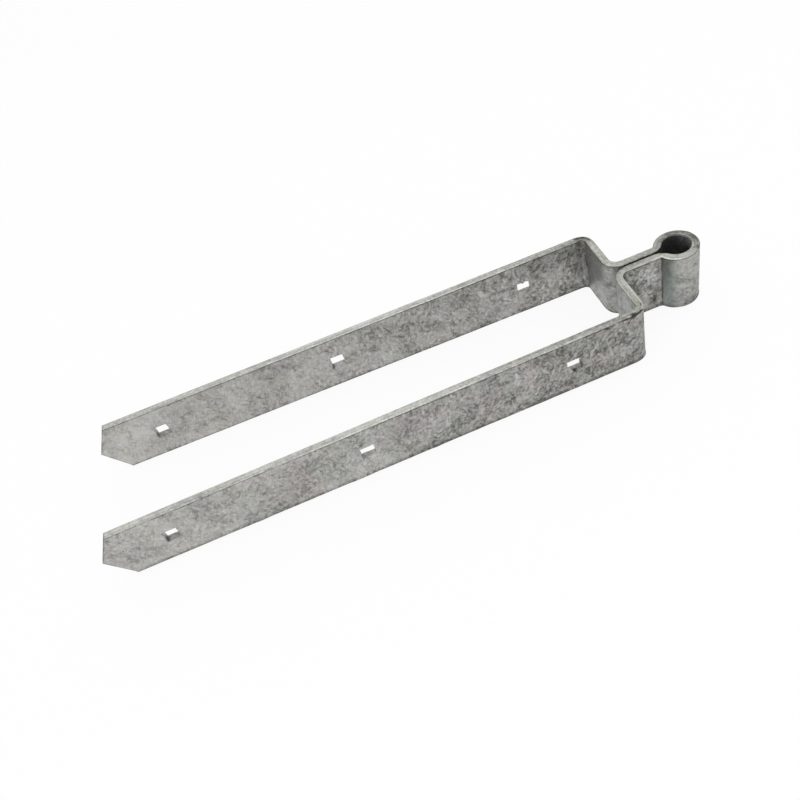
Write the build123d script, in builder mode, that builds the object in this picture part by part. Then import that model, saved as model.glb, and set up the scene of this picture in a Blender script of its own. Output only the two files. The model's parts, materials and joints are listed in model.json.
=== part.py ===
from build123d import *
import os
from math import asin, cos, degrees, radians, tan

# Double strap gate hinge: one flat bar, folded about its middle into a rolled eye,
# two legs that lie close together, two cross-pieces and two long straps.
# Millimetres. The origin is on the pin's axis at the bar's lower edge,
# +X runs from the pin to the pointed ends and +Z runs up the pin.

# The flat bar that is folded
bar_width = 50.0
bar_thickness = 6.0
bar_edge_radius = 1.0

# Overall reach, from the back of the eye to the pointed ends
overall_length = 500.0

# Rolled eye and the two legs behind it
bore_diameter = 21.5
leg_gap = 1.6

# Inner face of the cross-pieces, from the pin's axis
setback = 54.5

# Room for the gate between the straps, measured where the shoulders end
gate_gap = 90.0

# Each strap opens outwards by this angle, in degrees
splay_angle = 0.9

# Inside radii of the bends
root_radius = 2.0
neck_radius = 6.0
shoulder_radius = 4.0

# Sheared point at the end of each strap, included angle in degrees
point_angle = 118.0

# Square holes for coach bolts, on the middle line of each strap
bolt_square = 11.0
point_to_bolt = 55.0
outer_bolt_pitch = 156.0
inner_bolt_pitch = 164.0

# Sizes that follow from the driving dimensions
half_thickness = bar_thickness / 2
eye_radius = bore_diameter / 2 + half_thickness
point_x = overall_length - eye_radius - half_thickness
leg_y = leg_gap / 2 + half_thickness
root_bend = root_radius + half_thickness
neck_bend = neck_radius + half_thickness
shoulder_bend = shoulder_radius + half_thickness
cross_x = setback - half_thickness
shoulder_y = gate_gap / 2 - shoulder_radius * cos(radians(splay_angle))
# Where the eye's round ends and the root bend to the leg begins, seen from the pin
throat_angle = degrees(asin((leg_y + root_bend) / (eye_radius + root_bend)))
# The bar is drawn longer than it ends up, so that the points are cut from square ends
shear_allowance = bar_width

with BuildPart() as double_strap:
    # The middle line of the bar in plan: half of it from the back of the eye, then its mirror image
    with BuildSketch() as bar_plan:
        with BuildLine() as fold_line:
            eye = CenterArc((0, 0), eye_radius, 180, throat_angle - 180)
            root = JernArc(eye @ 1, eye % 1, root_bend, 90 - throat_angle)
            leg = Line(root @ 1, (cross_x - neck_bend, leg_y))
            neck = JernArc(leg @ 1, leg % 1, neck_bend, 90)
            cross_piece = Line(neck @ 1, (cross_x, shoulder_y))
            shoulder = JernArc(cross_piece @ 1, cross_piece % 1, shoulder_bend, splay_angle - 90)
            strap_start = shoulder @ 1
            strap_length = (point_x - strap_start.X) / cos(radians(splay_angle))
            PolarLine(strap_start, strap_length + shear_allowance, direction=shoulder % 1)
            mirror(about=Plane.XZ)
        trace(line_width=bar_thickness)
    extrude(amount=bar_width)

    # The rolled bar's long edges are eased all the way round the folds
    bar_ends = double_strap.faces().sort_by(Axis.X)[-2:]
    long_faces = double_strap.faces().filter_by(Axis.Z)
    fillet(long_faces.edges() - bar_ends.edges(), radius=bar_edge_radius)

    # Each strap is worked flat, in the plane of its own middle: X along the strap, Y up the bar
    point_length = bar_width / 2 / tan(radians(point_angle / 2))
    bolt_places = [
        strap_length - point_to_bolt,
        strap_length - point_to_bolt - outer_bolt_pitch,
        strap_length - point_to_bolt - outer_bolt_pitch - inner_bolt_pitch,
    ]
    for side in (1, -1):
        strap_plane = Plane(
            origin=(strap_start.X, side * strap_start.Y, bar_width / 2),
            x_dir=(1, side * tan(radians(splay_angle)), 0),
            z_dir=(side * tan(radians(splay_angle)), -1, 0),
        )
        # Both corners of the square end are sheared off to a point
        with BuildSketch(strap_plane):
            for corner in (1, -1):
                with BuildLine():
                    Polyline(
                        (strap_length - point_length, corner * bar_width / 2),
                        (strap_length, 0),
                        (strap_length + 2 * shear_allowance, 0),
                        (strap_length + 2 * shear_allowance, corner * bar_width),
                        (strap_length - point_length, corner * bar_width),
                        close=True,
                    )
                make_face()
        extrude(amount=bar_thickness, both=True, mode=Mode.SUBTRACT)
        # Square holes are punched through
        with BuildSketch(strap_plane):
            with Locations(*[(place, 0) for place in bolt_places]):
                Rectangle(bolt_square, bolt_square)
        extrude(amount=bar_thickness, both=True, mode=Mode.SUBTRACT)

double_strap.part.label = "double_strap"
os.makedirs("parts", exist_ok=True)
export_step(double_strap.part, "parts/double_strap.step")

print(f"straps reach x = {point_x:.2f} mm, strap length {strap_length:.2f} mm")
print(f"volume {double_strap.part.volume:.0f} mm3, box {double_strap.part.bounding_box().size}")
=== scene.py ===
# %% [markdown]
# # A double strap gate hinge
#
# The real thing is one flat steel bar. Its middle is rolled into an eye for the gate's pin, the two
# halves come back as legs that lie close together, turn outwards as cross-pieces, and turn again into
# two long straps with pointed ends, which take the gate between them. Then the whole bar is dipped in
# molten zinc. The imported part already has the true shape, so this lesson gives it the skin that the
# zinc bath leaves: soft edges, a slightly uneven surface, and a mottled grey metal.

import json

import bpy
import numpy as np
from mathutils import Matrix, Vector


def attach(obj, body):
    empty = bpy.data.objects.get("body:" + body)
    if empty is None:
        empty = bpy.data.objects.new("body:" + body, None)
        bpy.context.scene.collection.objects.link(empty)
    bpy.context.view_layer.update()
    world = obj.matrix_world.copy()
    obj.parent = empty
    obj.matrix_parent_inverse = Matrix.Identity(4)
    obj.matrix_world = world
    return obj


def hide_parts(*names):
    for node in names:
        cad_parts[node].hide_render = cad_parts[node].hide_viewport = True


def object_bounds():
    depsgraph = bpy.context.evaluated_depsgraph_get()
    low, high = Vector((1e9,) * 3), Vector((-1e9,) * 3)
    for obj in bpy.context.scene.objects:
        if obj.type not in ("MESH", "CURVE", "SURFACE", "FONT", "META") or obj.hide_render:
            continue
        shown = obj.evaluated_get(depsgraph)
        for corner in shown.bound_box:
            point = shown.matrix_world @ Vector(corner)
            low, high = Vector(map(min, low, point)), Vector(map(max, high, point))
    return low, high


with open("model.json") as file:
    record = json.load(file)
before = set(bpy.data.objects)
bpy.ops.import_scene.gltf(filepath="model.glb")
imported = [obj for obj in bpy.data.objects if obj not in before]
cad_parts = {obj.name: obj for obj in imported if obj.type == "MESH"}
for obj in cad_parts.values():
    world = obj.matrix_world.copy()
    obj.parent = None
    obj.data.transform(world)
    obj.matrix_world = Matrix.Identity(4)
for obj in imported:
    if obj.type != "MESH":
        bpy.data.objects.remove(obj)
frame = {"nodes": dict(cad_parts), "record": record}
cad_low, cad_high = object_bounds()
print("nodes:", sorted(frame["nodes"]), "box:", tuple(cad_low), tuple(cad_high))

# %% [markdown]
# ## The bar's sizes
#
# Sizes are in millimetres and become metres only when a mesh is made. The frame gives most of them:
# the box gives the bar's width and reach, the pin's bore gives the eye, and what is left of the eye's
# outer radius is the bar's thickness. They could all be typed in, but sizes that are read follow the part
# when it changes. The bends' inside radii are written here, because a bend isn't a mount and the record
# doesn't hold it.

# %% Sizes
MM = 0.001

mounts = {mount["name"]: mount for mount in frame["record"]["mounts"]}
low = np.round(np.array(cad_low) / MM, 3)
high = np.round(np.array(cad_high) / MM, 3)

bar_width = high[2] - low[2]
bore_radius = mounts["eye_bore"]["dims"]["r_mm"]
bar_thickness = -low[0] - bore_radius
half_thickness = bar_thickness / 2
splay = np.arcsin(mounts["left_strap_face"]["axis"][0])

edge_radius = 1.0
leg_gap = 1.6
setback = 54.5
root_radius = 2.0
neck_radius = 6.0
shoulder_radius = 4.0
point_angle = np.radians(118.0)
bolt_square = 11.0

print(f"bar {bar_width:.1f} x {bar_thickness:.1f} mm, bore {2 * bore_radius:.1f} mm")
print(f"each strap opens by {np.degrees(splay):.2f} degrees")

# %% [markdown]
# ## The line that the bar is folded along
#
# Seen from above, the middle of the bar is a chain of runs with constant curvature: straight ones have
# none, and a bend of radius r has 1/r. Such a chain is easy to walk: over a length d the heading turns by
# curvature times d, and the chord points along the mean heading. The walk starts at the back of the eye
# and goes along the strap on the +Y side. The other half of the bar is its mirror image. A curve object with
# a bevel could follow such a line too, but its cross-lines wouldn't fall on the holes' edges.

# %% Runs from the back of the eye to the point
eye_bend = bore_radius + half_thickness
root_bend = root_radius + half_thickness
neck_bend = neck_radius + half_thickness
shoulder_bend = shoulder_radius + half_thickness
leg_y = leg_gap / 2 + half_thickness
cross_x = setback - half_thickness

# Where the eye's round gives way to the root bend, seen from the pin
throat = np.arcsin((leg_y + root_bend) / (eye_bend + root_bend))

# The strap's middle line lies half a thickness outside the face that the gate rests on
strap_face = np.array(mounts["left_strap_face"]["pos_m"][:2]) / MM
strap_out = np.array([-np.sin(splay), np.cos(splay)])
strap_offset = strap_face @ strap_out + half_thickness
shoulder_x = cross_x + shoulder_bend
shoulder_y = (strap_offset - shoulder_bend + shoulder_x * np.sin(splay)) / np.cos(splay)
strap_x = shoulder_x - shoulder_bend * np.sin(splay)
point_x = high[0] - half_thickness * np.sin(splay)

runs = {
    "eye": (eye_bend * (np.pi - throat), -1 / eye_bend),
    "root": (root_bend * (np.pi / 2 - throat), 1 / root_bend),
    "leg": (cross_x - neck_bend - (eye_bend + root_bend) * np.cos(throat), 0.0),
    "neck": (neck_bend * np.pi / 2, 1 / neck_bend),
    "cross": (shoulder_y - leg_y - neck_bend, 0.0),
    "shoulder": (shoulder_bend * (np.pi / 2 - splay), -1 / shoulder_bend),
    "strap": ((point_x - strap_x) / np.cos(splay), 0.0),
}
run_length, run_curvature = np.array(list(runs.values())).T
run_stop = np.concatenate([[0.0], np.cumsum(run_length)])
stop_heading = np.pi / 2 + np.concatenate([[0.0], np.cumsum(run_length * run_curvature)])
stop_of = dict(zip(runs, run_stop))
half_length = run_stop[-1]


def chord(length, curvature, heading):
    """Step along a run of constant curvature k: the heading turns by k d over a length d, and the chord
    is d times sin(k d / 2) / (k d / 2) long, along the mean heading. A straight run is the case k = 0."""
    turn = curvature * length
    reach = length * np.sinc(turn / (2 * np.pi))
    return reach * np.cos(heading + turn / 2), reach * np.sin(heading + turn / 2)


run_dx, run_dy = chord(run_length, run_curvature, stop_heading[:-1])
stop_x = -eye_bend + np.concatenate([[0.0], np.cumsum(run_dx)])
stop_y = np.concatenate([[0.0], np.cumsum(run_dy)])
print(f"flat bar {2 * half_length:.1f} mm long; its point comes to x = {stop_x[-1]:.2f} mm")

# %% Carry a point of the flat bar to the folded one


def folded(along, up, through):
    """Place of a point of the flat bar once the bar is folded. `along` is measured from the back of the eye,
    positive towards the +Y strap, `up` from the lower edge, and `through` from the middle of the thickness,
    positive on the outer side. The point is the fold line's point plus `through` times its outward normal."""
    far = np.abs(along)
    run = np.clip(np.searchsorted(run_stop, far, side="right") - 1, 0, len(run_length) - 1)
    into = far - run_stop[run]
    dx, dy = chord(into, run_curvature[run], stop_heading[run])
    heading = stop_heading[run] + run_curvature[run] * into
    side = np.where(along < 0, -1.0, 1.0)
    x = stop_x[run] + dx - through * np.sin(heading)
    y = side * (stop_y[run] + dy + through * np.cos(heading))
    return np.stack([x, y, up + 0.0 * along], axis=-1)


print("back of the eye:", folded(np.zeros(1), 0.0, half_thickness)[0].round(3))

# %% [markdown]
# ## Rows and columns
#
# The skin is a grid. Columns run along the bar and rows run round its section, which is a rectangle with
# rounded corners. An even grid is easier to make, but its cells would cut across the square holes. So the
# lines are placed by stops: ends of runs, edges of holes, the start of the points. Between two stops they
# are evenly spaced.

# %% Columns along the bar
surface_pitch = 1.4
hole_pitch = 0.7
bend_pitch_share = 0.1
least_curvature = 1e-6
lip_radius = 0.6
lip_swing = np.radians([30.0, 60.0, 90.0])
point_blend = 30.0

bolts = [mounts[f"left_bolt_{name}"]["pos_m"] for name in ("inner", "middle", "outer")]
strap_along = np.array([np.cos(splay), np.sin(splay)])
strap_start = np.array([stop_x[-2], stop_y[-2]])
bolt_along = stop_of["strap"] + (np.array(bolts)[:, :2] / MM - strap_start) @ strap_along
bolt_up = bolts[0][2] / MM
lip_half = bolt_square / 2 + lip_radius


def spaced(stops, pitch):
    """Places from the first stop to the last one, with each gap between two stops divided evenly."""
    steps = np.maximum(1, np.round(np.diff(stops) / pitch)).astype(int)
    gaps = [np.linspace(a, b, n, endpoint=False) for a, b, n in zip(stops, stops[1:], steps)]
    return np.concatenate([*gaps, stops[-1:]])


column_stops = np.unique(np.round(np.concatenate([
    run_stop[:-1],
    bolt_along - lip_half,
    bolt_along + lip_half,
    [half_length - point_blend, half_length - lip_radius],
]), 6))
gap_middle = (column_stops[1:] + column_stops[:-1]) / 2
gap_curvature = np.abs(run_curvature[np.searchsorted(run_stop, gap_middle) - 1])
gap_pitch = np.minimum(surface_pitch, bend_pitch_share / np.maximum(gap_curvature, least_curvature))
gap_in_hole = (np.abs(gap_middle[:, None] - bolt_along) < lip_half).any(axis=1)
gap_pitch = np.where(gap_in_hole, hole_pitch, gap_pitch)
round_end = half_length - lip_radius * (1 - np.sin(lip_swing))
half_columns = np.concatenate([spaced(column_stops, gap_pitch), round_end])
columns = np.concatenate([-half_columns[:0:-1], half_columns])
print(len(columns), "columns; bolt holes", (bolt_along - stop_of["strap"]).round(2), "mm along the strap")

# %% Rows round the section
edge_band = 2.4
edge_pitch = 0.6
corner_swing = np.radians([-90.0, -60.0, -30.0, 0.0])


def bar_ring():
    """Section of the bar as one closed ring: through, up, and the outward normal's two parts. A quarter goes
    from the middle of the lower edge round the corner, which is the corner's middle plus the radius times
    the cosine and sine of the swing. Quarter, face and the quarter's mirror image make the outer half, and
    the inner half mirrors that. Row k and row -1 - k face each other across the thickness."""
    flat = half_thickness - edge_radius
    normal = np.column_stack([np.cos(corner_swing), np.sin(corner_swing)])
    corner = np.column_stack([(flat, edge_radius) + edge_radius * normal, normal])
    quarter = np.concatenate([[(flat / 3, 0.0, 0.0, -1.0)], corner])
    face_stops = np.array([
        edge_radius, edge_radius + edge_band, bolt_up - lip_half, bolt_up, bolt_up + lip_half,
        bar_width - edge_radius - edge_band, bar_width - edge_radius,
    ])
    face_pitch = np.full(len(face_stops) - 1, surface_pitch)
    face_pitch[[0, -1]] = edge_pitch
    face_up = spaced(face_stops, face_pitch)[1:-1]
    face = np.column_stack(np.broadcast_arrays(half_thickness, face_up, 1.0, 0.0))
    outer = np.concatenate([quarter, face, quarter[::-1] * (1, -1, 1, -1) + (0, bar_width, 0, 0)])
    return np.concatenate([outer, outer[::-1] * (-1, 1, -1, 1)]).T


ring_through, ring_up, ring_normal_through, ring_normal_up = bar_ring()
print(len(ring_up), "rows round the section")

# %% [markdown]
# ## What the zinc does to the shape
#
# A dipped bar isn't flat like glass. The zinc freezes in soft swells a few millimetres across, it stands up
# in a thin bead along the bar's edges, and it leaves runs on the lower edge, where the last of it drips off.
# The bending shows too: on the inside of a bend the steel is squeezed and bulges out at the bar's edges, and
# on the outside it is drawn in. Bump in the material could hint at this, but the outline would stay ruler
# straight. So it is added as a small movement of each point along the section's normal, in the mesh itself.

# %% Smooth noise, steps and bells on whole arrays
noise_heights = 8192
cube_mixer = (73856093, 19349663, 83492791)


def swells(place, patch, seed):
    """Smooth noise from -1 to 1. Space is cut into cubes with sides of `patch`, each corner gets a fixed
    random height, and a point takes a smooth blend of the eight corners of its cube."""
    heights = np.random.default_rng(seed).uniform(-1, 1, noise_heights)
    scaled = place / patch
    cube = np.floor(scaled).astype(np.int64)
    blend = (scaled - cube) ** 2 * (3 - 2 * (scaled - cube))
    total = np.zeros(place.shape[:-1])
    for corner in np.ndindex(2, 2, 2):
        share = np.prod(np.where(np.array(corner) == 1, blend, 1 - blend), axis=-1)
        total += share * heights[(cube + corner) @ cube_mixer % noise_heights]
    return total


def soft_step(value, start, stop):
    """0 before `start`, 1 after `stop`, and a smooth rise between them."""
    share = np.clip((value - start) / (stop - start), 0, 1)
    return share * share * (3 - 2 * share)


def bell(*distances):
    """A bell curve: e to the power of minus the sum of the squared distances, each in half-widths."""
    return np.exp(-sum(distance ** 2 for distance in distances))


print(f"a bell falls to {bell(1.0):.2f} at its half-width")

# %% Swells, beads, runs and lumps of zinc
swell_height, swell_patch = 0.10, 13.0
ripple_height, ripple_patch = 0.05, 4.5
calmer_at_point = 0.6
bead_height, bead_place, bead_width = 0.06, 1.0, 0.7
bead_mean, bead_change, bead_patch = 0.6, 0.4, 9.0
bead_stretch, run_stretch = (1.0, 0.0, 0.3), (1.0, 0.0, 0.0)
groove_share, groove_place, groove_width = 0.9, 2.3, 0.6
run_height, run_patch, run_top = 0.25, 11.0, 3.0
run_onset = (0.35, 0.9)
sag_height, sag_top = 0.4, 2.0
lumps = [
    # place on the flat bar: along, up, through; then height and radius
    (11.5, 50.0, 2.4, 0.5, 1.4),
    (-8.0, 50.0, 2.2, 0.25, 1.6),
    (34.0, 50.0, 2.6, 0.25, 2.5),
]


def strap_share(along):
    """0 at the eye and up to the shoulder, rising to 1 at the point."""
    return np.clip((np.abs(along) - stop_of["strap"]) / run_length[-1], 0, 1)


def zinc_thickness(along, up, through):
    """Swells and ripples that fade towards the points, a bead along both long edges with a shallow groove
    beside it, zinc that sags to the lower edge with runs on it, and a bell-shaped bump for each lump."""
    place = np.stack([along, up, through], axis=-1)
    calm = 1 - calmer_at_point * strap_share(along)
    swell = swell_height * calm * swells(place, swell_patch, seed=3)
    ripple = ripple_height * calm * swells(place, ripple_patch, seed=4)
    from_edge = np.minimum(up, bar_width - up)
    uneven = bead_mean + bead_change * swells(place * bead_stretch, bead_patch, seed=5)
    groove = groove_share * bell((from_edge - groove_place) / groove_width)
    bead = bead_height * uneven * (bell((from_edge - bead_place) / bead_width) - groove)
    drip = soft_step(swells(place * run_stretch, run_patch, seed=6), *run_onset)
    drip = drip * (1 - soft_step(up, 0.0, run_top)) * (through > -half_thickness / 2)
    sag = sag_height * (1 - soft_step(up, 0.0, sag_top)) + run_height * drip
    lump = [
        height * np.exp(-np.sum((place - middle) ** 2, axis=-1) / radius ** 2)
        for *middle, height, radius in lumps
    ]
    return swell + ripple + bead + sag + np.sum(lump, axis=0)


print(len(lumps), "lumps; runs hang up to", sag_height + run_height, "mm under the lower edge")

# %% Steel that is squeezed or drawn in at the bends
edge_upset = 1.0
bend_thinning = 1.4
bend_reach = 2.0


def squeeze(along, through):
    """How hard the bend squeezes the steel at a point: the curvature, averaged over a short reach, times the
    distance from the middle of the thickness. It is above 0 on the inside of a bend and below 0 outside."""
    far = np.abs(along)
    ahead = np.interp(far + bend_reach, run_stop, stop_heading)
    behind = np.interp(far - bend_reach, run_stop, stop_heading)
    return (ahead - behind) / (2 * bend_reach) * through


on_outer_side = squeeze(columns, half_thickness)
print(f"squeeze on the outer side: {on_outer_side.min():.2f} to {on_outer_side.max():.2f}")

# %% [markdown]
# ## The skin's points
#
# Each grid point starts on the flat bar. Near the end of a strap the columns lean over until the last one
# lies along the sheared point, and the last few columns draw in a little, which rounds the sheared edges.
# Then the zinc moves the point along the section's normal, and the fold carries it to its place. Modifiers
# could bevel, displace and bend a plain bar, but here each step is one formula that can be read.

# %% Grid of points on the flat bar
point_slope = 1 / np.tan(point_angle / 2)

far = np.abs(columns)[:, None]
blend_start = half_length - point_blend
end_here = half_length - point_slope * np.abs(ring_up - bar_width / 2)[None, :]
lean = (end_here - blend_start) / point_blend
grid_far = np.where(far > blend_start, blend_start + (far - blend_start) * lean, far)
grid_along = np.where(columns[:, None] < 0, -grid_far, grid_far)

into_end = np.clip((far - (half_length - lip_radius)) / lip_radius, 0, 1)
draw_in = lip_radius * (1 - np.sqrt(1 - into_end ** 2))
grid_through = ring_through[None, :] * (1 - draw_in / half_thickness)
grid_up = bar_width / 2 + (ring_up[None, :] - bar_width / 2) * (1 - draw_in / (bar_width / 2))

thicker = zinc_thickness(grid_along, grid_up, grid_through) * (1 - into_end)
squeezed = squeeze(grid_along, grid_through)
beyond_eye = soft_step(np.abs(grid_along), stop_of["root"] - bend_reach, stop_of["root"] + bend_reach)
thinner = bend_thinning * beyond_eye * np.maximum(0, -squeezed)
skin_through = grid_through + (thicker - thinner) * ring_normal_through
skin_up = grid_up + (thicker + edge_upset * squeezed) * ring_normal_up
print("zinc moves the skin by", thicker.min().round(2), "to", thicker.max().round(2), "mm")

# %% [markdown]
# ## Bolt holes
#
# The holes are punched square, for the necks of coach bolts. A Boolean cut would leave slivers round them. In
# the grid a hole is a block of cells that are left out, on the outer face and again on the inner one. The two
# rims are then joined by a short tube: rings with the rim's own points, drawn in towards the hole's middle by
# the rounded lip's profile.

# %% Cells of the skin, with the holes left out
column_count, row_count = grid_along.shape
number = np.arange(column_count * row_count).reshape(column_count, row_count)
next_row = np.roll(number, -1, axis=1)
cells = np.stack([number[:-1], next_row[:-1], next_row[1:], number[1:]], axis=-1)

cell_along = np.abs(columns[1:] + columns[:-1]) / 2
cell_up = (ring_up + np.roll(ring_up, -1)) / 2
holed_column = (np.abs(cell_along[:, None] - bolt_along) < lip_half).any(axis=1)
holed_row = np.abs(cell_up - bolt_up) < lip_half
solid_cell = ~(holed_column[:, None] & holed_row[None, :])
print(int((~solid_cell).sum()), "cells left out for", 2 * len(bolt_along), "holes")

# %% Profile of a hole's wall
wall_rings = 3
lip_in = lip_radius * np.sin(lip_swing)
lip_deep = lip_radius * (1 - np.cos(lip_swing))
wall_deep = np.linspace(lip_radius, bar_thickness - lip_radius, wall_rings + 2)[1:-1]
tube_in = np.concatenate([lip_in, np.full(wall_rings, lip_radius), lip_in[::-1]])
tube_deep = np.concatenate([lip_deep, wall_deep, bar_thickness - lip_deep[::-1]])
print("rings at depths", tube_deep.round(2), "mm")

# %% Points on a hole's rim
rim_slack = 1e-3


def rim(middle):
    """Column and row of each grid point on the rim of the hole at `middle`, once round, on the outer face."""
    on_columns = np.flatnonzero(np.abs(columns - middle) < lip_half + rim_slack)
    on_rows = np.abs(ring_up - bolt_up) < lip_half + rim_slack
    outer_rows = np.flatnonzero(on_rows & (ring_through > 0))
    first, last = on_columns[0], on_columns[-1]
    bottom, top = outer_rows[0], outer_rows[-1]
    column = np.concatenate([
        on_columns[:-1], np.full(len(outer_rows) - 1, last),
        on_columns[:0:-1], np.full(len(outer_rows) - 1, first),
    ])
    row = np.concatenate([
        np.full(len(on_columns) - 1, bottom), outer_rows[:-1],
        np.full(len(on_columns) - 1, top), outer_rows[:0:-1],
    ])
    return column, row


print(len(rim(bolt_along[0])[0]), "points round a hole's rim")

# %% Tubes through the holes
burr_height, burr_patch = 0.12, 2.6
teeth = [
    # hole's place along the bar, mm beside its middle, its upper or lower edge, height, half-width
    (-bolt_along[0], -0.6, 1, 1.3, 0.9),
    (-bolt_along[0], 3.6, 1, 0.5, 1.2),
    (bolt_along[1], 2.5, -1, 0.5, 1.3),
]


def zinc_teeth(along, up):
    """Drops of zinc that froze on a hole's edge: each is a bell curve along that edge."""
    grown = np.zeros(along.shape)
    for hole, sideways, above, height, width in teeth:
        on_edge = above * (up - bolt_up) > bolt_square / 3
        grown += above * height * bell((along - hole - sideways) / width) * on_edge
    return grown


def hole_tube(middle, first_number):
    """Points and cells of the tube through one hole. Ring j lies `tube_deep[j]` below the outer face, and its
    points are the rim's points, drawn in to a share of their distance from the hole's middle. The share is
    (lip_half - tube_in[j]) / lip_half. A burr of noise moves each point out or in."""
    column, row = rim(middle)
    outer, inner = number[column, row], number[column, row_count - 1 - row]
    drawn = (lip_half - tube_in[:, None]) / lip_half
    along = middle + (grid_along[column, row] - middle) * drawn
    up = bolt_up + (grid_up[column, row] - bolt_up) * drawn
    outer_face, inner_face = skin_through[column, row], skin_through[column, row_count - 1 - row]
    through = outer_face + (inner_face - outer_face) * tube_deep[:, None] / bar_thickness
    burr = burr_height * swells(np.stack([along, up, through], axis=-1), burr_patch, seed=7)
    along = along + burr * (along - middle) / lip_half
    up = up + burr * (up - bolt_up) / lip_half - zinc_teeth(along, up)
    rings = first_number + np.arange(along.size).reshape(along.shape)
    rings = np.concatenate([outer[None], rings, inner[None]])
    around = np.roll(rings, -1, axis=1)
    tube = np.stack([rings[:-1], rings[1:], around[1:], around[:-1]], axis=-1)
    return np.stack([along, up, through], axis=-1).reshape(-1, 3), tube.reshape(-1, 4)


flat_points = [np.stack([grid_along, skin_up, skin_through], axis=-1).reshape(-1, 3)]
hole_cells = []
for side in (1, -1):
    for middle in side * bolt_along:
        points, tube = hole_tube(middle, sum(len(block) for block in flat_points))
        flat_points.append(points)
        hole_cells.append(tube)
flat_points = np.concatenate(flat_points)
hole_cells = np.concatenate(hole_cells)
print(len(hole_cells), "cells on the holes' walls")

# %% [markdown]
# ## Where the zinc is coarse, soiled or green, and where shade is painted
#
# The finish isn't the same all over. Thick zinc near the folds froze slowly into coarse, dark crystals, and
# it gets calm and pale towards the points. The inner faces of the cross-pieces stayed smooth, with a green
# cast. Ash from the bath sits in the inside corners of the bends, and the dark lines there are also painted
# shade. This bar has stains and streaks of its own. Some marks are painted shade in corners, in the holes and
# under the upper edge, a few pale ones are painted highlights on rims, and the straps' inner sides are made
# paler as painted light. They could be painted by hand on an image, but a list of marks, each with its place
# on the flat bar, can be read and changed. Each point of the mesh gets three numbers, in one attribute that
# the materials read. The upper edge has a shade of its own: it is darkest round the eye and palest along the
# middle of the straps.

# %% Ash and painted shade in the inside corners of the bends
# Ash and painted shade: each line darkens the inside corner of a bend, where shade falls.
ash_and_crease_shade_lines = [
    # distance along the bar, half the line's width, side of the bar (1 is the outer one), amount
    (stop_of["root"] + runs["root"][0] / 2, 1.6, 1, 1.0),
    (stop_of["neck"] + runs["neck"][0] / 2, 2.4, 1, 0.5),
    (stop_of["strap"] - 0.5, 1.0, -1, 0.3),
    (stop_of["shoulder"] + runs["shoulder"][0] / 2, 5.0, -1, 0.25),
]
ash_and_shade_top = 2.0


def ash_and_crease_shade(along, up, through):
    """A bell curve across each line, on its side of the bar: residue from the bath, with painted shade in the
    bend's inside corner. It fades out just below the upper edge.
    """
    lines = [
        amount * bell((np.abs(along) - place) / width) * (side * through > 0)
        for place, width, side, amount in ash_and_crease_shade_lines
    ]
    return np.sum(lines, axis=0) * soft_step(bar_width - up, edge_radius / 2, ash_and_shade_top)


print(len(ash_and_crease_shade_lines), "lines of ash on each half of the bar")
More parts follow.
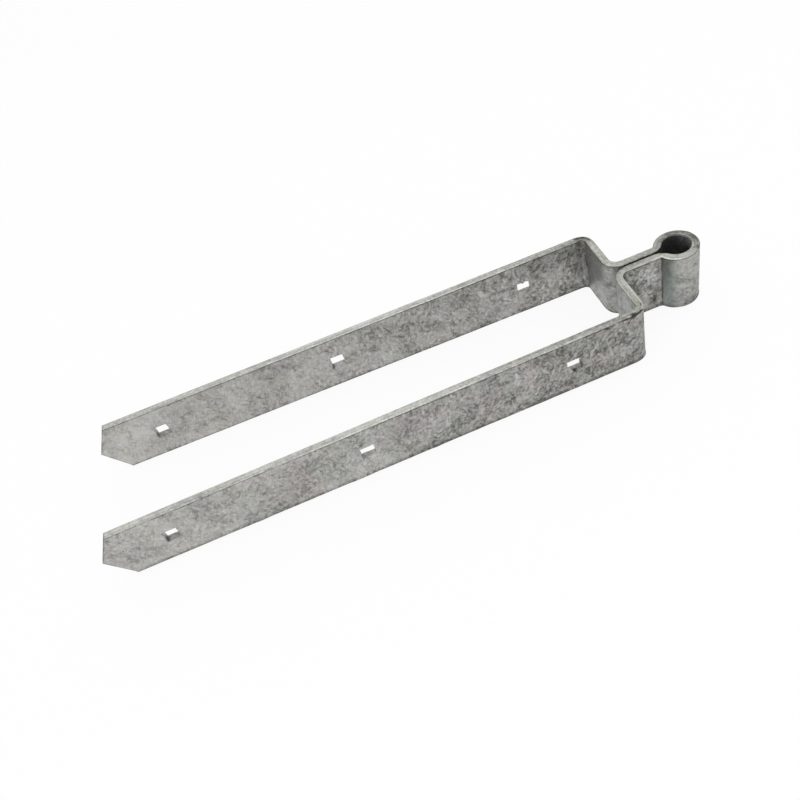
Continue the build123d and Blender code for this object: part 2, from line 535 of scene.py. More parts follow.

# %% Stains and pale streaks, and painted shade and light
strap_marks = [
    # strap (1 is the +Y one, -1 the other), mm from the shoulder towards the point, mm up,
    # half-length, half-width, lean in degrees, darkness (below 0 is paler)
    (1, -95.8, 22, 6, 1.2, 75, -0.5),
    (1, -96.6, 32, 16, 4, 0, -0.25),
    (1, -92.6, 27.5, 2, 1.4, 90, 0.5),
    (1, -94.8, 13, 1.6, 1.4, 0, 0.5),
    (1, -88, 45, 5, 1.6, 90, 0.15),
    (1, -86.3, 13, 9, 3, 0, -0.35),
    (1, -95, 13, 9, 8, 0, -0.35),
    (1, -95, 28, 7, 6, 0, 0.25),
    (-1, -22, 38, 14, 9, 0, -0.25),
    (-1, -42, 20, 12, 10, 0, 0.2),
    (1, -104.6, 37, 9, 4, 0, 0.25),
    (-1, -46.6, 38, 8, 5, 0, -0.4),
    (1, -71.6, 37, 7, 5, 0, -0.9),
    (1, -64.3, 41, 6, 4, 0, -0.8),
    (1, -66, 17, 8, 3, 20, -0.4),
    (1, -73, 12, 8, 4, 0, 0.7),
    (1, -53.3, 45, 4, 2.6, 0, 0.8),
    (1, -58.1, 32, 6, 1.6, 15, 0.8),
    (1, -61, 24, 5, 1.6, 0, 0.6),
    (1, -74.8, 20, 3, 2, 0, 0.6),
    (1, -74.1, 10, 6, 2.6, 0, 0.6),
    (1, -67.6, 32, 1.8, 1.5, 0, 0.8),
    (1, -70.6, 25, 1.6, 1.6, 0, 0.8),
    # Dark flecks with painted shade under the bead, below the upper edge near the front shoulder
    (1, 8.5, 49.2, 4.6, 0.9, 90, 1.5),
    (1, 2, 49.1, 2, 1.2, 90, 1.5),
    (1, 22.3, 47.9, 2.4, 1.2, 68, 1.6),
    # Painted shade on the inner hole's walls, low down and on its side nearer the shoulder
    (1, 50.4, 19.5, 1.8, 1.6, 0, 1.5),
    (1, 44.2, 22.5, 3, 1.4, 0, 0.8),
    (1, 140, 40, 6, 1.1, 5, 0.6),
    (1, 205, 9, 5, 5, 0, -0.3),
    (1, 203, 25, 60, 35, 0, -0.12),
    (1, 332, 16, 4, 1.8, 60, 0.6),
    (1, 377, 9, 3, 1.6, 60, 0.6),
    # Painted shade low in the outer hole
    (1, 375.4, 21.5, 3, 1.4, 0, 0.9),
    (1, 405, 20, 2.6, 1.8, 70, 0.6),
    (1, 409.6, 45.5, 3, 1.6, 0, 0.8),
    # Painted shade: a dark line in the back shoulder's inside corner
    (-1, -8, 30, 9, 1.4, 8, 0.5),
    (-1, 73, 40, 7, 1.3, -4, 0.6),
    (-1, 77, 38, 7, 1.2, -4, -0.5),
    (-1, 82, 40, 7, 1.3, -4, 0.6),
    (-1, 85.5, 38, 7, 1.2, -4, -0.5),
    (-1, 107, 38, 2.2, 6, 0, 0.5),
    (-1, 131, 22, 9, 9, 0, 0.4),
    (-1, 166, 15, 7, 1.2, -15, -0.5),
    # Painted shade low in the outer hole
    (-1, 375.4, 21.5, 3, 1.4, 0, 0.9),
    (1, 44, 28, 5, 1.6, 0, 0.5),
    (1, 55, 9, 7, 3, 90, 0.4),
    (1, 61, 16, 5, 2.5, 80, -0.4),
    (1, 82, 38, 4, 1.2, 20, -0.6),
    (1, 94, 38, 6, 1.2, 0, -0.6),
    (1, 100, 19, 6, 3, 0, 0.5),
    (1, 123, 32, 9, 5, 0, -0.25),
    (1, 129, 36, 13, 1, 3, 0.6),
    (1, 151, 20, 5, 1.2, -40, -0.5),
    (1, 166.5, 7, 3.4, 1.5, -30, 1.05),
    (1, 187, 13.5, 5, 3, 30, 0.45),
    (1, 192, 21, 6, 1.8, 85, 0.6),
    (1, 257, 13, 8, 6, 0, -0.25),
    (1, 288, 20, 13, 9, 30, 0.35),
    # Painted shade in the back shoulder's inside corner, darkest near the top, and painted light lower down
    (-1, -5.5, 20, 30, 3.4, 0, 0.5),
    (-1, 4, 42, 10, 6, 0, 0.1),
    (-1, 16, 46, 12, 22, 0, 0.4),
    (-1, 20, 19, 11, 18, 0, -0.4),
    (-1, 3, 6, 6, 5, 0, 0.45),
    (-1, 22, 10, 5, 3, 0, 0.35),
    (-1, 48, 40, 10, 5, 90, 0.4),
    (-1, 124, 30, 4, 1.2, -35, -0.5),
    (-1, 180, 12, 8, 7, 90, -0.25),
    (-1, 216, 43, 6, 4, 0, 0.4),
    # Painted shade on a wall of the middle hole, low down
    (-1, 219.4, 20, 2.2, 1.3, 0, 1.1),
    (-1, 249, 38, 6, 2.5, 60, 0.4),
    (-1, 286, 19, 2.5, 1.4, 0, 0.6),
    (-1, 320, 11, 7, 4, 60, 0.35),
]


def stains_and_painted_shade(along, up, through):
    """A bell curve round the middle of each mark, long in the mark's own direction and narrow across it. The
    marks lie on the outer side of the +Y half and on the inner side of the other half. Most are stained
    patches and streaks; some paint shade in inside corners, in the holes and under the upper edge, and one
    paints light."""
    total = np.zeros(along.shape)
    for strap, beyond, height, length, width, lean, darkness in strap_marks:
        turn = np.radians(lean)
        right, above = np.abs(along) - stop_of["strap"] - beyond, up - height
        lengthwise = right * np.sin(turn) + above * np.cos(turn)
        crosswise = right * np.cos(turn) - above * np.sin(turn)
        marked_side = (strap * along > 0) & (strap * through > 0)
        total += darkness * bell(lengthwise / length, crosswise / width) * marked_side
    return total


print(len(strap_marks), "marks on the faces")

# %% Flecks and painted highlights on the upper edge, and a dark line round the sheared ends
rim_marks_and_highlights = [
    # place along the bar, through its thickness, half-length, half-width, darkness (below 0 is a painted
    # highlight)
    (11, 2.6, 1.4, 0.7, 1.1),
    # Painted highlights: the three marks below 0 are bright spots and lines on the rounded rims near the eye
    (13.5, 2.6, 1.6, 1, -0.8),
    (34, 2.8, 7, 0.8, -0.8),
    (33, 1.2, 6, 0.8, 0.5),
    (0, -2.4, 18, 0.8, -1.2),
    (-121.5, 0.6, 2.8, 1.6, 1.4),
    (-116.5, 0.5, 2.8, 1.7, 1.4),
    (-111.5, 0.4, 2.4, 1.4, 1.35),
    (117, 2.8, 1.4, 1, 1.5),
    (118.6, 2.3, 2, 0.9, 1),
    (121.4, 2.1, 2, 1, 1.25),
    (112, 0.8, 1.6, 1, 1.1),
]
end_line = 0.9


def rim_flecks_and_highlights(along, up, through):
    """A bell curve round the middle of each mark, on the upper edge alone: dark flecks, and painted
    highlights along the rounded rims where the darkness is below 0.
    """
    bells = [
        darkness * bell((along - place) / length, (through - depth) / width)
        for place, depth, length, width, darkness in rim_marks_and_highlights
    ]
    return np.sum(bells, axis=0) * (up > bar_width - edge_radius)


def end_soil(along, up):
    """A bell curve across the last millimetre before the sheared end."""
    from_end = half_length - point_slope * np.abs(up - bar_width / 2) - np.abs(along)
    return bell(from_end / end_line)


print(len(rim_marks_and_highlights), "marks on the upper edge")

# %% Three numbers for each point
coarse_at_point, coarse_fall = 0.3, 0.8
coarse_on_eye = 0.65
coarse_on_leg = 0.78
coarse_on_cross = 0.63
# Painted light: the straps' inner sides are made paler, against the darker reflections between the straps.
paler_inside_painted_light = 0.12
green_on_eye = 0.25
green_on_cross = 0.35
eye_fade = 2.0
cross_fade = 8.0
root_green_place, root_green_width = 3.5, 5.0


def zinc_state(along, up, through):
    """Coarseness falls from 1 at the shoulder to its value at the point, and is lower on the eye, the legs,
    the straps' inner sides and most of all on the inner faces of the cross-pieces. On the straps' inner sides
    the drop is painted light, which makes them paler. Soiling is residue from the bath, stained patches and
    flecks, with painted shade in inside corners, in the holes and under the upper edge, and painted
    highlights on rims. Green is 1 beside the eye's root, and less on those inner faces and on the eye."""
    far = np.abs(along)
    inner = soft_step(-through, 0.0, half_thickness)
    past_shoulder = soft_step(far, stop_of["shoulder"], stop_of["strap"])
    on_cross = inner * soft_step(far, stop_of["neck"] - cross_fade, stop_of["neck"]) * (1 - past_shoulder)
    by_root = (1 - inner) * bell((far - stop_of["root"] + root_green_place) / root_green_width)
    on_eye = 1 - soft_step(far, stop_of["root"] - eye_fade, stop_of["leg"])
    on_leg = 1 - soft_step(far, stop_of["neck"], stop_of["cross"])
    coarse = 1 - (1 - coarse_at_point) * strap_share(along) ** coarse_fall
    for share, here in ((on_leg, coarse_on_leg), (on_eye, coarse_on_eye), (on_cross, coarse_on_cross)):
        coarse = coarse + (here - coarse) * share
    coarse = coarse - paler_inside_painted_light * inner * past_shoulder
    soil_and_shade = ash_and_crease_shade(along, up, through) + stains_and_painted_shade(along, up, through) + rim_flecks_and_highlights(along, up, through)
    soil_and_shade = soil_and_shade + end_soil(along, up)
    green = np.maximum(np.maximum(green_on_cross * on_cross, by_root), green_on_eye * on_eye)
    return np.stack([coarse, soil_and_shade, green], axis=-1)


point_state = zinc_state(*flat_points.T)
print("coarseness", point_state[:, 0].min().round(2), "to 1; soil up to", point_state[:, 1].max().round(2))

# %% Shade of the upper edge
edge_facing = 0.45
olive_loss, olive_reach = 0.6, 40.0
edge_shades = np.array([
    # place along the bar, how dark the upper edge is there
    (-546, 0.5), (-486, 0.4), (-406, 0.15), (-321, -0.1), (-231, 0.15), (-156, 0.8), (-121, 0.85),
    (-96, 0.6), (-75, 0.7), (-55, 0.8), (-33, 1.05), (-20, 1.9), (0, 1.85), (8, 1.4), (25, 0.35),
    (34, 0.3), (55, 0.75), (75, 0.55), (96, 0.15), (110, 0.4), (121, 0.75), (156, 0.8), (231, 0.65),
    (321, 0.15), (406, 0.35), (486, 0.35), (546, 0.5),
]).T

edge_points = np.flatnonzero(np.tile(ring_normal_up > edge_facing, column_count))
edge_along = flat_points[edge_points, 0]
on_strap = soft_step(np.abs(edge_along), stop_of["shoulder"], stop_of["strap"] + olive_reach)
point_state[edge_points, 0] = np.interp(edge_along, *edge_shades)
point_state[edge_points, 2] = 1 - olive_loss * on_strap
print(len(edge_points), "points on the upper edge")

# %% [markdown]
# ## Sheared ends and the finished mesh
#
# The section's rows come in facing pairs, so an end is closed by a ladder of cells from the outer row to the
# inner row that faces it. One large face with many corners would do as well, but it shades badly. Then all
# the cells go into one mesh. Each point also keeps its place on the flat bar as an attribute, because the
# zinc's pattern belongs to the bar and goes round the folds with it.

# %% Ladders over the two ends
outer_row = np.arange(row_count // 2)
rungs = np.stack([outer_row, row_count - 1 - outer_row], axis=-1)
ladder = np.concatenate([rungs[:-1, :1], rungs[1:], rungs[:-1, 1:]], axis=-1)
end_cells = np.concatenate([number[-1][ladder], number[0][ladder[:, ::-1]]])
print(len(end_cells), "cells on the two ends")

# %% One mesh
sharp_angle = np.radians(50.0)


def add_object(name, data):
    """A new object in the scene, at the origin."""
    made = bpy.data.objects.new(name, data)
    bpy.context.scene.collection.objects.link(made)
    return made


all_cells = np.concatenate([cells[solid_cell], hole_cells, end_cells])
skin_points = folded(*flat_points.T) * MM

mesh = bpy.data.meshes.new("galvanised_bar")
mesh.from_pydata(skin_points.tolist(), [], all_cells.tolist())
mesh.polygons.foreach_set("use_smooth", np.ones(len(all_cells), dtype=bool))
mesh.set_sharp_from_angle(angle=sharp_angle)
for name, values in (("flat_bar", flat_points), ("zinc_state", point_state)):
    attribute = mesh.attributes.new(name, "FLOAT_VECTOR", "POINT")
    attribute.data.foreach_set("vector", values.astype(np.float32).ravel())
mesh.validate()

galvanised_bar = add_object("galvanised_bar", mesh)
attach(galvanised_bar, "root")
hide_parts("double_strap")
print(len(skin_points), "points,", 2 * len(all_cells), "triangles")

# %% [markdown]
# ## Nodes, written shortly
#
# A material is a graph of nodes. It could be drawn by hand in the shader editor, but a script can be read
# line by line. Two helpers add a node and fill or link its inputs, and the others name the nodes that come up
# often. A socket knows the tree that it is in, so a new node can go where its inputs come from.

# %% Helpers for numbers


def fill(made, inputs):
    """Links each input that is given a socket to that socket, and sets any other to its value."""
    for key, value in inputs.items():
        if isinstance(value, bpy.types.NodeSocket):
            made.id_data.links.new(value, made.inputs[key])
        else:
            made.inputs[key].default_value = value


def node(kind, inputs, tree=None, **settings):
    """Adds a shader node to the given tree, or else to the one that its linked inputs are in."""
    sockets = [value for value in inputs.values() if isinstance(value, bpy.types.NodeSocket)]
    made = (tree or sockets[0].id_data).nodes.new("ShaderNode" + kind)
    for name, value in settings.items():
        setattr(made, name, value)
    fill(made, inputs)
    return made.outputs


def math(operation, first, second=0.0):
    """One step of arithmetic on two values."""
    return node("Math", {0: first, 1: second}, operation=operation)[0]


def times(first, second):
    """One value times another."""
    return math("MULTIPLY", first, second)


def total(*values):
    """All the values added up."""
    summed = values[0]
    for value in values[1:]:
        summed = math("ADD", summed, value)
    return summed


def line_up(value, slope, start):
    """A straight line: slope times the value, plus its start."""
    return node("Math", {0: value, 1: slope, 2: start}, operation="MULTIPLY_ADD")[0]


def rise(value, start, stop, low=0.0, high=1.0):
    """A smooth rise from `low` at `start` to `high` at `stop`."""
    inputs = {"Value": value, "From Min": start, "From Max": stop, "To Min": low, "To Max": high}
    return node("MapRange", inputs, interpolation_type="SMOOTHSTEP")[0]


def swing(value, amount):
    """A value from 0 to 1, turned into a move of up to half of `amount` down or up."""
    return times(math("SUBTRACT", value, 0.5), amount)


print("helpers:", [helper.__name__ for helper in (fill, node, math, times, total, line_up, rise, swing)])

# %% Helpers for vectors and colours


def parts(vector):
    """The three numbers of a vector or a colour, as X, Y and Z."""
    return node("SeparateXYZ", {0: vector})


def stretched(vector, factors):
    """A vector with each of its three numbers times a factor of its own."""
    return node("VectorMath", {0: vector, 1: factors}, operation="MULTIPLY")[0]


def turned(vector, angle):
    """A vector that is turned by an angle about the third axis."""
    return node("VectorRotate", {"Vector": vector, "Angle": angle}, rotation_type="Z_AXIS")[0]


def noise(place, scale, detail, roughness=0.5, distortion=0.0):
    """Cloudy noise, first as a value and then as a colour. The clouds are about 1 / scale across."""
    inputs = {"Vector": place, "Scale": scale, "Detail": detail}
    return node("TexNoise", {**inputs, "Roughness": roughness, "Distortion": distortion})


def mix_colour(share, first, second, blend="MIX"):
    """Two colours, blended or multiplied as far as `share` says."""
    return node("Mix", {0: share, 6: first, 7: second}, data_type="RGBA", blend_type=blend)[2]


print("helpers:", [helper.__name__ for helper in (parts, stretched, turned, noise, mix_colour)])

# %% [markdown]
# ## The zinc's pattern
#
# Zinc freezes as crystals. On heavy steel they come out small and uneven. Seen close, the grey is made of
# cloudy patches at every size from a hand's width down to a grain, short strokes that run mostly across the
# bar and lean one way in one crystal and another way in the next, tiny crystals with a tone each, and dark
# flecks in clusters. An image could carry all this, but it would have seams and one fixed size. Noise has
# neither. For the strokes, space is cut into cells, each cell turns its own coordinates by a random angle,
# and noise that is stretched along one turned axis then leans differently in every cell. The tint wanders
# too, between olive and lavender, and where a finish blushes, between moss and rose. The faces, the edges and
# the dark inner walls all need this pattern, so it is a node group, built once and placed in each material.

# %% Group: sockets, patches and clouds


def new_group(name, inputs, outputs):
    """An empty shader node group with named sockets: its tree, its entry sockets and its exit node."""
    tree = bpy.data.node_groups.new(name, "ShaderNodeTree")
    for in_out, sockets in (("INPUT", inputs), ("OUTPUT", outputs)):
        for label, kind in sockets.items():
            tree.interface.new_socket(name=label, in_out=in_out, socket_type="NodeSocket" + kind)
    return tree, tree.nodes.new("NodeGroupInput").outputs, tree.nodes.new("NodeGroupOutput")


zinc_grain, enter, leave = new_group(
    "zinc_grain",
    {
        "Place": "Vector", "Patch size": "Float", "Cloud size": "Float",
        "Crystal size": "Float", "Blush": "Float",
    },
    {
        "Patches": "Float", "Clouds": "Float", "Strokes": "Float",
        "Crystals": "Float", "Flecks": "Float", "Tint": "Color",
    },
)
spot = enter["Place"]
patch_scale = math("DIVIDE", 1.0, enter["Patch size"])
cloud_scale = math("DIVIDE", 1.0, enter["Cloud size"])
crystal_scale = math("DIVIDE", 1.0, enter["Crystal size"])

# A rise is written as its start and stop, and the values there where they aren't 0 and 1
cloud_rise = (0.34, 0.66)
patches = noise(spot, patch_scale, detail=1.5)[0]
clouds = noise(spot, cloud_scale, detail=3.0, roughness=0.7, distortion=0.5)[0]
pattern = {"Patches": rise(patches, *cloud_rise), "Clouds": rise(clouds, *cloud_rise)}
print("the group takes", [socket.name for socket in enter if socket.name])

# %% Group: strokes that lean differently in every crystal
lean_slope, lean_start = 2.0, -1.1
dash_stretch, dash_rise, dash_share = (0.5, 0.2, 0.5), (0.4, 0.6), 0.6
streak_stretch, streak_rise = (0.42, 0.09, 0.42), (0.6, 0.68)

crystal_cell = node("TexVoronoi", {"Vector": spot, "Scale": crystal_scale})["Color"]
leaning = turned(spot, line_up(parts(crystal_cell)["X"], lean_slope, lean_start))
dashes = noise(stretched(leaning, dash_stretch), 1.0, detail=1.0, distortion=0.2)[0]
streaks = noise(stretched(leaning, streak_stretch), 1.0, detail=0.0, distortion=0.2)[0]
dashes = times(rise(dashes, *dash_rise), dash_share)
pattern["Strokes"] = math("MAXIMUM", dashes, rise(streaks, *streak_rise))
print("strokes lean from", lean_start, "to", round(lean_start + lean_slope, 2), "radians")

# %% Group: tiny crystals, and flecks in clusters
tiny_in_crystal, tiny_bend = 4.0, (1.6, 1.6, 1.6)
round_rise, round_share = (0.2, 0.8, 1.0, 0.0), 0.4
flecks_in_crystal, fleck_rise, cluster_rise = 3.2, (0.57, 0.62), (0.42, 0.62)

tiny_scale = times(crystal_scale, tiny_in_crystal)
bend = noise(spot, tiny_scale, detail=1.0)[1]
bent = node("VectorMath", {0: bend, 1: tiny_bend, 2: spot}, operation="MULTIPLY_ADD")[0]
tiny = node("TexVoronoi", {"Vector": bent, "Scale": tiny_scale})
tiny_tone, tiny_round = parts(tiny["Color"])["X"], rise(tiny["Distance"], *round_rise)
pattern["Crystals"] = node("Mix", {0: round_share, 2: tiny_tone, 3: tiny_round})[0]

fleck_scale = times(crystal_scale, flecks_in_crystal)
flecks = noise(spot, fleck_scale, detail=2.0, roughness=0.7, distortion=1.2)[0]
clusters = noise(spot, cloud_scale, detail=1.0)[0]
pattern["Flecks"] = times(rise(flecks, *fleck_rise), rise(clusters, *cluster_rise))
print("so far the pattern has", list(pattern))

# %% Group: tint, and the way out
olive, lavender = (1.0, 1.0, 0.984, 1.0), (1.0, 0.998, 1.014, 1.0)
mossy, rosy = (0.983, 1.007, 0.997, 1.0), (1.022, 0.991, 1.0, 1.0)
white = (1.0, 1.0, 1.0, 1.0)
tints_in_cloud, tint_rise, blush_rise = 0.6, (0.38, 0.62), (0.36, 0.62)

tint_noise = parts(noise(spot, times(cloud_scale, tints_in_cloud), detail=2.0)[1])
tint = mix_colour(rise(tint_noise["X"], *tint_rise), olive, lavender)
blush = mix_colour(rise(tint_noise["Y"], *blush_rise), mossy, rosy)
pattern["Tint"] = mix_colour(1.0, tint, mix_colour(enter["Blush"], white, blush), "MULTIPLY")
fill(leave, pattern)
print("the group puts out", list(pattern), "from", len(zinc_grain.nodes), "nodes")

# %% [markdown]
# ## What the finishes share
#
# All four finishes are the same zinc, so they start from one kind of material, read the same three numbers,
# and go from dark zinc to their own palest zinc. Heavy soil, and the darkest painted shade, shows as dark
# brown blots on any of them. Metal this dull still mirrors its surroundings softly, so the shader is metallic
# with a middling roughness. Paint with no metal in it could be given the same colours, but it wouldn't change
# with the light as zinc does.

# %% Helpers for the finishes
dark_zinc = (0.118, 0.116, 0.105, 1.0)
blot_brown = (0.05, 0.045, 0.037, 1.0)
blot_rise, blot_ragged = (0.8, 1.25), 0.6
bump_strength = 0.3


def zinc_material(name):
    """A new material, its shader, a point's place on the flat bar, and its coarseness, soiling with painted
    shade and light, and green.
    """
    material = bpy.data.materials.new(name)
    material.use_nodes = True
    tree = material.node_tree
    place = node("Attribute", {}, tree, attribute_name="flat_bar")["Vector"]
    state = node("Attribute", {}, tree, attribute_name="zinc_state")["Vector"]
    return material, tree.nodes["Principled BSDF"], place, parts(state)


def zinc_pattern(place, patch, cloud, crystal, blush=0.0):
    """Places the pattern's group in a material, with sizes of its own in millimetres."""
    sizes = {"Patch size": patch, "Cloud size": cloud, "Crystal size": crystal}
    return node("Group", {"Place": place, **sizes, "Blush": blush}, node_tree=zinc_grain)


def tinted(tone, palest, tint):
    """Zinc of that tone, up to the palest one, with the tint that wanders over it."""
    return mix_colour(1.0, mix_colour(tone, dark_zinc, palest), tint, "MULTIPLY")


def blotted(colour, soil_and_shade, crystals):
    """Heavy soiling and heavy painted shade gather into dark brown blots. The crystals make their borders
    ragged.
    """
    return mix_colour(rise(total(soil_and_shade, swing(crystals, blot_ragged)), *blot_rise), colour, blot_brown)


def bumped(height, depth):
    """Tiny relief that follows a value, `depth` metres deep."""
    return node("Bump", {"Strength": bump_strength, "Distance": depth, "Height": height})[0]


print("zinc goes down to", dark_zinc[:3], "and soil to", blot_brown[:3])

# %% [markdown]
# ## Zinc on the faces
#
# The broad faces show the pattern best. The tone is one number, from dark olive zinc at 0 to the palest zinc
# at 1.1. It starts from a mean that is lower where the zinc is coarse, and every part of the pattern moves it
# up or down. Two things belong to the faces alone: a thin dark line beside the long edges, which is film and
# painted shade under the bead and darkens further as painted shade near the floor, and fine pale scratches
# that all lean one way. They could be modelled, but they have no depth to speak of, so they are tone and not
# geometry.

# %% Film and painted shade beside the long edges, and scratches
# Painted shade: a dark line just under each long edge's bead, and a darkening over the lowest 5 mm, near the
# floor.
film_and_shade_start, film_and_shade_stop = (0.2, 0.7), (0.9, 1.9, 1.0, 0.0)
film_and_shade_scale, film_and_shade_breaks = 0.1, (0.4, 0.6, 0.6, 1.0)
drip_and_floor_shade_by_height, drip_and_floor_shade_by_side = (0.0, 5.0, 1.0, 0.0), (-1.0, 1.0, 0.2, 0.85)
scratch_lean, scratch_stretch, scratch_rise = -0.38, (1.1, 0.11, 0.3), (0.58, 0.68)


def edge_film_and_shade(place):
    """The darker of two marks, both film and painted shade: a line at a set distance from the nearer long
    edge, under the bead, broken by noise, and a darkening just above the lower edge, where the zinc ran off
    and the floor shades the face, mostly on the outer side."""
    _, up, through = parts(place)
    from_edge = math("MINIMUM", math("SUBTRACT", bar_width, up), up)
    line = times(rise(from_edge, *film_and_shade_start), rise(from_edge, *film_and_shade_stop))
    breaks = noise(place, film_and_shade_scale, detail=5.0, roughness=0.8)[0]
    drips_and_floor_shade = times(rise(up, *drip_and_floor_shade_by_height), rise(through, *drip_and_floor_shade_by_side))
    return math("MAXIMUM", times(line, rise(breaks, *film_and_shade_breaks)), drips_and_floor_shade)


def scratches(place):
    """Fine lines that all lean one way: noise that is long along one axis, with only its tops kept."""
    either_half = node("VectorMath", {0: place}, operation="ABSOLUTE")[0]
    lines = stretched(turned(either_half, scratch_lean), scratch_stretch)
    return rise(noise(lines, 1.0, detail=1.0)[0], *scratch_rise)


print("film from", film_and_shade_start[0], "to", film_and_shade_stop[1], "mm beside the edges")

# %% Material: faces
palest_zinc, palest_tone = (0.545, 0.538, 0.515, 1.0), 1.1
green_cast = (0.76, 0.855, 0.84, 1.0)
face_swings = {"Patches": 0.2, "Clouds": 0.25, "Strokes": 0.48, "Crystals": 0.63}
blush_by_side, blush_by_coarse = (-1.0, 1.0, 0.25, 1.0), (0.35, 0.5)
fine_by_cloud, fine_by_green = (0.1, 0.9, 1.2, 0.75), (0.0, 0.7, 1.0, 0.25)
soil_and_shade_by_cloud = (0.0, 1.0, -0.55, -0.25)
fleck_tone, film_and_shade_tone = -0.2, -0.52
face_roughness, green_roughness = (0.2, 0.8, 0.5, 0.36), 0.2

# A line is written as its slope and its start, here over the coarseness
face_tone, scratch_tone = (-0.55, 0.98), (-0.3, 0.32)
stroke_tone, crystal_tone = (0.74, 0.26), (0.52, 0.48)


def face_zinc():
    """Mottled zinc. Tone is a line over the coarseness, plus patches, clouds, strokes, crystals and
    scratches, less flecks, soiling with its painted shade and light, and film with painted shade beside the
    edges. The strokes and crystals show most where the zinc is coarse and the clouds are dark, and least
    where it is green. The outer faces blush a little."""
    material, shader, place, (coarse, soil_and_shade, green) = zinc_material("zinc_face")
    blush = times(rise(parts(place)["Z"], *blush_by_side), rise(coarse, *blush_by_coarse))
    grain = zinc_pattern(place, patch=40.0, cloud=14.0, crystal=9.0, blush=blush)
    moved = {name: swing(grain[name], amount) for name, amount in face_swings.items()}
    strokes = times(moved["Strokes"], line_up(coarse, *stroke_tone))
    crystals = times(moved["Crystals"], line_up(coarse, *crystal_tone))
    fine = times(total(strokes, crystals), rise(grain["Clouds"], *fine_by_cloud))
    tone = total(
        line_up(coarse, *face_tone),
        moved["Patches"],
        moved["Clouds"],
        times(fine, rise(green, *fine_by_green)),
        times(grain["Flecks"], fleck_tone),
        times(soil_and_shade, rise(grain["Clouds"], *soil_and_shade_by_cloud)),
        times(edge_film_and_shade(place), film_and_shade_tone),
        times(scratches(place), line_up(coarse, *scratch_tone)),
    )
    colour = tinted(math("DIVIDE", tone, palest_tone), palest_zinc, grain["Tint"])
    colour = mix_colour(green, colour, green_cast, "MULTIPLY")
    fill(shader, {
        "Base Color": blotted(colour, soil_and_shade, grain["Crystals"]),
        "Metallic": 0.78,
        "Roughness": total(rise(tone, *face_roughness), times(green, green_roughness)),
        "Normal": bumped(tone, depth=0.0004),
    })
    return material


finishes = [face_zinc()]
print(finishes[-1].name, "has", len(finishes[-1].node_tree.nodes), "nodes")

# %% [markdown]
# ## Zinc on the edges
#
# The long edges come from the rolling mill and the ends from the shear. Their zinc is paler, with long fine
# lines along the bar. An anisotropic shader could hint at such lines, but here the eye sees them as tone. So
# the pattern is used twice: once as it is, and once in coordinates that are squeezed along the bar, which
# draws its clouds out into lines.

# %% Material: rolled edges and sheared ends
pale_edge = (0.618, 0.612, 0.586, 1.0)
edge_olive = (0.965, 0.99, 0.945, 1.0)
drawn_out = (0.05, 1.0, 2.2)
drawn_swing = 0.34
edge_swings = {"Clouds": 0.2, "Crystals": 0.42}
edge_tone, edge_soil_and_shade = (-0.38, 0.84), -0.38
# Painted shade: the rounded rims of the edges are darkened, most where the edge is dark, to take down their
# highlight.
painted_rim_shade = (1.7, 2.9, 0.0, -0.14)
edge_roughness = (0.3, 0.8, 0.48, 0.34)


def edge_zinc():
    """Paler zinc. Tone is a line over the edge's own darkness, plus drawn-out lines, clouds and crystals,
    less flecks, soiling with its painted shade and light, and painted shade on the rounded rims."""
    material, shader, place, (dark, soil_and_shade, green) = zinc_material("zinc_edge")
    lines = zinc_pattern(stretched(place, drawn_out), patch=12.0, cloud=4.0, crystal=8.0)
    grain = zinc_pattern(place, patch=30.0, cloud=9.0, crystal=7.0)
    from_middle = math("ABSOLUTE", parts(place)["Z"])
    tone = total(
        line_up(dark, *edge_tone),
        swing(lines["Clouds"], drawn_swing),
        *(swing(grain[name], amount) for name, amount in edge_swings.items()),
        times(grain["Flecks"], fleck_tone),
        times(soil_and_shade, edge_soil_and_shade),
        times(rise(from_middle, *painted_rim_shade), dark),
    )
    colour = mix_colour(green, tinted(tone, pale_edge, grain["Tint"]), edge_olive, "MULTIPLY")
    fill(shader, {
        "Base Color": blotted(colour, soil_and_shade, grain["Crystals"]),
        "Metallic": 0.85,
        "Roughness": rise(tone, *edge_roughness),
        "Normal": bumped(tone, depth=0.0003),
    })
    return material


finishes.append(edge_zinc())
print(finishes[-1].name, "has", len(finishes[-1].node_tree.nodes), "nodes")

# %% [markdown]
# ## Zinc in the eye and in the holes
#
# In the bore and between the legs the zinc drained away, so it is thin and dull, and little light gets in:
# its near-black colours are painted shade. The holes' walls are dull too, but pale. Each could have a
# material written out for it, but only two colours differ, so one function makes both. At the back of the
# eye, near the top, where light comes in, the colour is multiplied up and made cooler as painted light.

# %% Material: bore, throat and hole walls
thin_shares = {"Clouds": 0.6, "Crystals": 0.4}
thin_soil_and_shade = -0.7
# Painted light: near the top at the back of the bore the dark colour is lifted and cooled.
painted_light_at_back = (3.6, 3.75, 4.0, 1.0)
back_along, back_up = (2.0, 19.0, 1.0, 0.0), (35.0, 49.0)
thin_roughness = (0.2, 0.8, 0.65, 0.5)


def thin_zinc(name, darkest, palest):
    """Thin, dull zinc between two colours. Their mix is clouds plus crystals less soiling, each in its share.
    In the bore the two colours are painted shade, and at the back of the eye they are lifted as painted
    light.
    """
    material, shader, place, (_, soil_and_shade, _) = zinc_material(name)
    grain = zinc_pattern(place, patch=20.0, cloud=7.0, crystal=5.0)
    mottle = total(*(times(grain[key], share) for key, share in thin_shares.items()), times(soil_and_shade, thin_soil_and_shade))
    along, up, _ = parts(place)
    at_back = times(rise(math("ABSOLUTE", along), *back_along), rise(up, *back_up))
    colour = mix_colour(at_back, mix_colour(mottle, darkest, palest), painted_light_at_back, "MULTIPLY")
    fill(shader, {
        "Base Color": blotted(colour, soil_and_shade, grain["Crystals"]),
        "Metallic": 0.6,
        "Roughness": rise(mottle, *thin_roughness),
    })
    return material


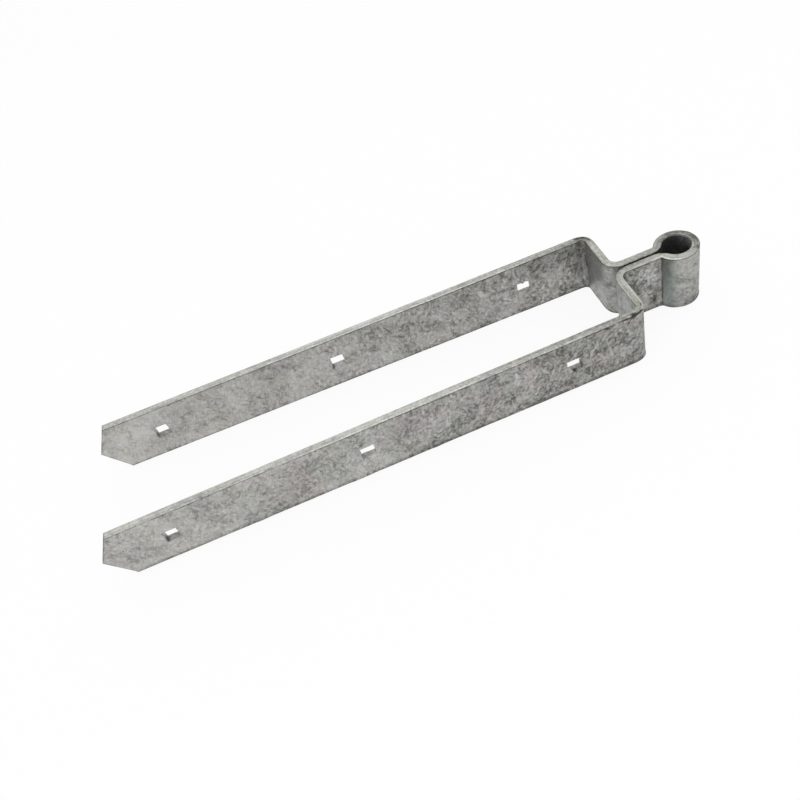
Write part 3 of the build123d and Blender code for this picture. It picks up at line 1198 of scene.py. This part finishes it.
finishes += [
    # The bore's near-black colours are painted shade, for the inside of the eye and the gap between the legs.
    thin_zinc("zinc_bore_painted_shade", darkest=(0.028, 0.028, 0.028, 1.0), palest=(0.1, 0.1, 0.097, 1.0)),
    thin_zinc("zinc_hole", darkest=(0.2, 0.196, 0.18, 1.0), palest=(0.6, 0.588, 0.565, 1.0)),
]
print("finishes:", [material.name for material in finishes])

# %% Give each cell its finish
on_face, on_edge, in_shaded_bore, in_hole = range(len(finishes))
upper_tilt, lower_tilt, inner_tilt = 0.5, -0.95, -0.5

for material in finishes:
    mesh.materials.append(material)

cell_facing_up = (ring_normal_up + np.roll(ring_normal_up, -1)) / 2
cell_facing_out = (ring_normal_through + np.roll(ring_normal_through, -1)) / 2
edge_row = (cell_facing_up > upper_tilt) | (cell_facing_up < lower_tilt)
shaded_bore_cell = (cell_facing_out < inner_tilt)[None, :] & (cell_along < stop_of["neck"])[:, None]
finish_of_cell = np.where(edge_row[None, :], on_edge, np.where(shaded_bore_cell, in_shaded_bore, on_face))
finish = np.concatenate([
    finish_of_cell[solid_cell], np.full(len(hole_cells), in_hole), np.full(len(end_cells), on_edge),
])
mesh.polygons.foreach_set("material_index", finish.astype(np.int32))
print("cells by finish:", np.bincount(finish))

# %% [markdown]
# ## Floor, light and camera
#
# The part lies on a plain white floor under soft studio light. Metal shows what is around it, so the floor
# and the white surroundings do most of the lighting. To the camera and in reflections the floor is mostly
# plain white, and the rest of it is lit, so the part's shadow stays as a soft tint. One large lamp hangs
# overhead and a smaller one beside the camera. Only the rounded rims mirror the two, as thin bright lines.
# An image of a studio could light the part as well, but plain white gives the same even grey.

# %% Floor
floor_size = 8.0
floor_drop = 0.0009

corner = floor_size / 2 * np.array([[-1, -1], [1, -1], [1, 1], [-1, 1]])
floor_mesh = bpy.data.meshes.new("floor")
floor_mesh.from_pydata(np.column_stack([corner, np.full(4, -floor_drop)]).tolist(), [], [(0, 1, 2, 3)])
floor = add_object("floor", floor_mesh)
print(f"floor {floor_size:.0f} m wide, {floor_drop / MM:.1f} mm under the packed part")

# %% Paint on the floor
plain_white_share = 0.9
paint_grey = (0.93, 0.93, 0.93, 1.0)


def seen_ray(tree):
    """1 for a ray that is seen directly, in a reflection or through glass, and 0 for light itself."""
    ray = node("LightPath", {}, tree)
    mirrored = math("MAXIMUM", ray["Is Glossy Ray"], ray["Is Transmission Ray"])
    return math("MAXIMUM", ray["Is Camera Ray"], mirrored)


floor_paint = bpy.data.materials.new("floor_paint")
floor_paint.use_nodes = True
paint = floor_paint.node_tree
lit_paint = paint.nodes["Principled BSDF"]
fill(lit_paint, {"Base Color": paint_grey, "Roughness": 1.0, "Specular IOR Level": 0.0})
plain_white = node("Emission", {"Color": white, "Strength": 1.0}, paint)[0]
white_share = times(seen_ray(paint), plain_white_share)
floor_mix = node("MixShader", {0: white_share, 1: lit_paint.outputs[0], 2: plain_white})[0]
fill(paint.nodes["Material Output"], {"Surface": floor_mix})
floor_mesh.materials.append(floor_paint)
print(f"{plain_white_share:.0%} of what is seen of the floor is plain white")

# %% White surroundings
ambient = 0.9

world = bpy.data.worlds.new("studio")
world.use_nodes = True
bpy.context.scene.world = world
sky = world.node_tree
strength = node("MapRange", {"Value": seen_ray(sky), "To Min": ambient, "To Max": 1.0})[0]
fill(sky.nodes["Background"], {"Color": white, "Strength": strength})
print("surroundings: 1 where they are seen,", ambient, "as light")

# %% Lamps


def soft_lamp(name, place, target, size, power):
    """A square area lamp that faces its target."""
    lamp = bpy.data.lights.new(name, "AREA")
    lamp.size = size
    lamp.energy = power
    lamp_object = add_object(name, lamp)
    lamp_object.location = place
    aim = Vector(target) - Vector(place)
    lamp_object.rotation_euler = aim.to_track_quat("-Z", "Y").to_euler()
    return lamp_object


part_middle = (0.23, 0.0, 0.02)
lamps = [
    soft_lamp("overhead_lamp", (0.15, 0.3, 1.35), part_middle, size=1.3, power=2.5),
    soft_lamp("front_lamp", (0.0, 1.0, 1.2), part_middle, size=0.9, power=1.0),
]
print("lamps, in watts:", {lamp.name: lamp.data.energy for lamp in lamps})

# %% Camera where the photographer stood
image_size = 800
focal_pixels = 777.44
camera_place = Vector((0.23057, 0.42145, 0.45982))
camera_target = Vector((0.23703, -0.00522, 0.0))
camera_roll = np.radians(-22.80)

camera_data = bpy.data.cameras.new("camera")
camera_data.sensor_width = 36.0
camera_data.lens = focal_pixels / image_size * camera_data.sensor_width
camera = add_object("camera", camera_data)
forward = (camera_target - camera_place).normalized()
level = forward.cross(Vector((0.0, 0.0, 1.0))).normalized()
right = level * np.cos(camera_roll) + level.cross(forward) * np.sin(camera_roll)
upward = right.cross(forward)
camera_turn = Matrix((right, upward, -forward)).transposed().to_4x4()
camera.matrix_world = Matrix.Translation(camera_place) @ camera_turn
bpy.context.scene.camera = camera
bpy.context.scene.view_settings.view_transform = "Standard"
print(f"lens {camera_data.lens:.2f} mm")
